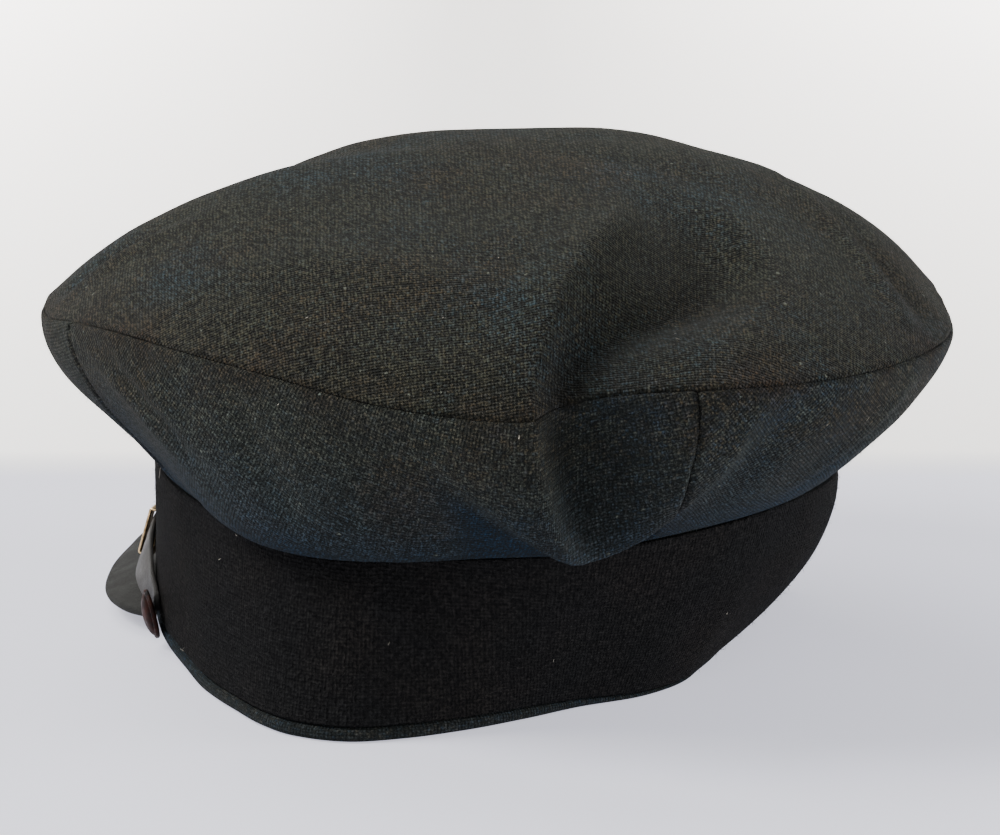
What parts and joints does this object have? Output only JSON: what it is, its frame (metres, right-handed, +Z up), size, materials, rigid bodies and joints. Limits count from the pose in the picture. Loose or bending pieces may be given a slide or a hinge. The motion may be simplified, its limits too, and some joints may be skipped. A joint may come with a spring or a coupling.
{
  "type": "peaked cap",
  "caption": "Worn cloth peaked cap with a large soft crown, an upright black band, a chin strap with side buttons and a small leather peak, lying relaxed on its band.",
  "frame": {"origin": "middle of the whole cap's outline in plan, on the surface that the band rests on", "axes": "+Z up; -Y the way the wearer faces, towards the peak; +X the wearer's left"},
  "size_m": [0.2293, 0.2871, 0.1298],
  "materials": {
    "crown_cloth": "matte open weave, olive grey, worn",
    "quarter_cloth": "matte open weave, dark blue grey, worn",
    "band_weave": "matte black ribbed wool",
    "peak_leather": "satin, finely grained, dark grey",
    "strap_leather": "glossy worn leather",
    "slide_brass": "tarnished, bright on the edges",
    "button_horn": "dark brown, half gloss, chipped"
  },
  "bodies": {
    "root": {"crown_top": "crown_cloth", "quarter_front_left": "quarter_cloth", "quarter_back_left": "quarter_cloth", "quarter_back_right": "quarter_cloth", "quarter_front_right": "quarter_cloth", "headband": "quarter_cloth", "band_cover": "band_weave", "peak": "peak_leather", "chin_strap": "strap_leather", "strap_slide_left": "slide_brass", "strap_slide_right": "slide_brass", "button_left": "button_horn", "button_right": "button_horn"}
  },
  "joints": []
}
